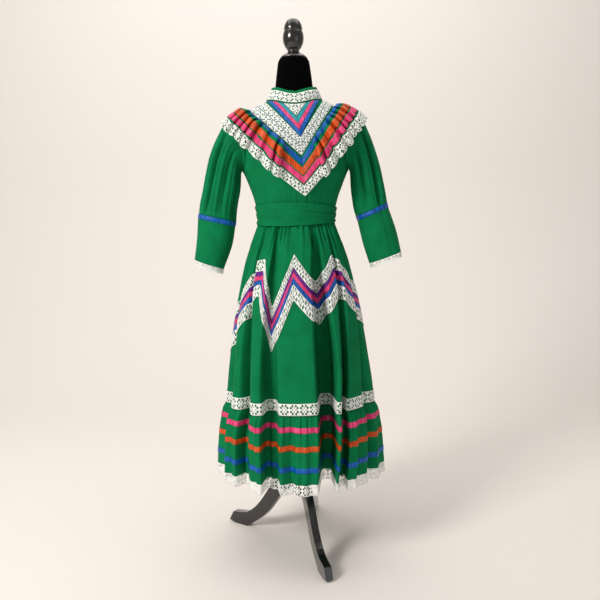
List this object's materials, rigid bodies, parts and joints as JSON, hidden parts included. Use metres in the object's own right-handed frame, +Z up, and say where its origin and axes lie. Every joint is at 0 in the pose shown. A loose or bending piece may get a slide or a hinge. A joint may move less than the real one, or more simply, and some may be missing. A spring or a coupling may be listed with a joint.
{
  "type": "folklorico dress on a dress form stand",
  "caption": "Long green dress with stand collar, V yoke, pleated ruffle, puffed sleeves, wrapped sash and gathered hem flounce, on a limbless dress form with a footed stand.",
  "frame": {"origin": "on the floor under the middle of the overall box", "axes": "+Z up, -Y the way the wearer faces, +X the wearer's left hand side (right as seen from the front)"},
  "size_m": [0.627, 0.564, 1.589],
  "materials": {
    "cotton": "plain-woven green cotton",
    "lace": "off-white cotton lace",
    "pink_satin": "satin ribbon",
    "purple_satin": "satin ribbon",
    "blue_satin": "satin ribbon",
    "jersey": "black knitted cover",
    "lacquer": "gloss black lacquer",
    "pole_enamel": "gloss black enamel"
  },
  "bodies": {
    "root": {"bodice_front": "cotton", "bodice_back": "cotton", "collar": "cotton", "yoke_ruffle": "cotton", "sleeve_upper_left": "cotton", "sleeve_upper_right": "cotton", "sleeve_lower_left": "cotton", "sleeve_lower_right": "cotton", "sash": "cotton", "skirt_front": "cotton", "skirt_back": "cotton", "flounce": "cotton", "collar_lace": "lace", "yoke_inset_front": "lace", "yoke_inset_back": "lace", "yoke_lace_inner": "lace", "yoke_lace_outer": "lace", "yoke_ruffle_lace": "lace", "cuff_lace_left": "lace", "cuff_lace_right": "lace", "zigzag_lace_upper": "lace", "zigzag_lace_lower": "lace", "skirt_lace_band": "lace", "hem_lace": "lace", "yoke_ribbons_front": "pink_satin", "yoke_ribbons_back": "pink_satin", "zigzag_ribbons": "purple_satin", "sleeve_ribbon_left": "blue_satin", "sleeve_ribbon_right": "blue_satin", "form_body": "jersey", "form_finial": "lacquer", "stand_hub": "lacquer", "stand_leg_1": "lacquer", "stand_leg_2": "lacquer", "stand_leg_3": "lacquer", "stand_pole": "pole_enamel"}
  },
  "joints": []
}
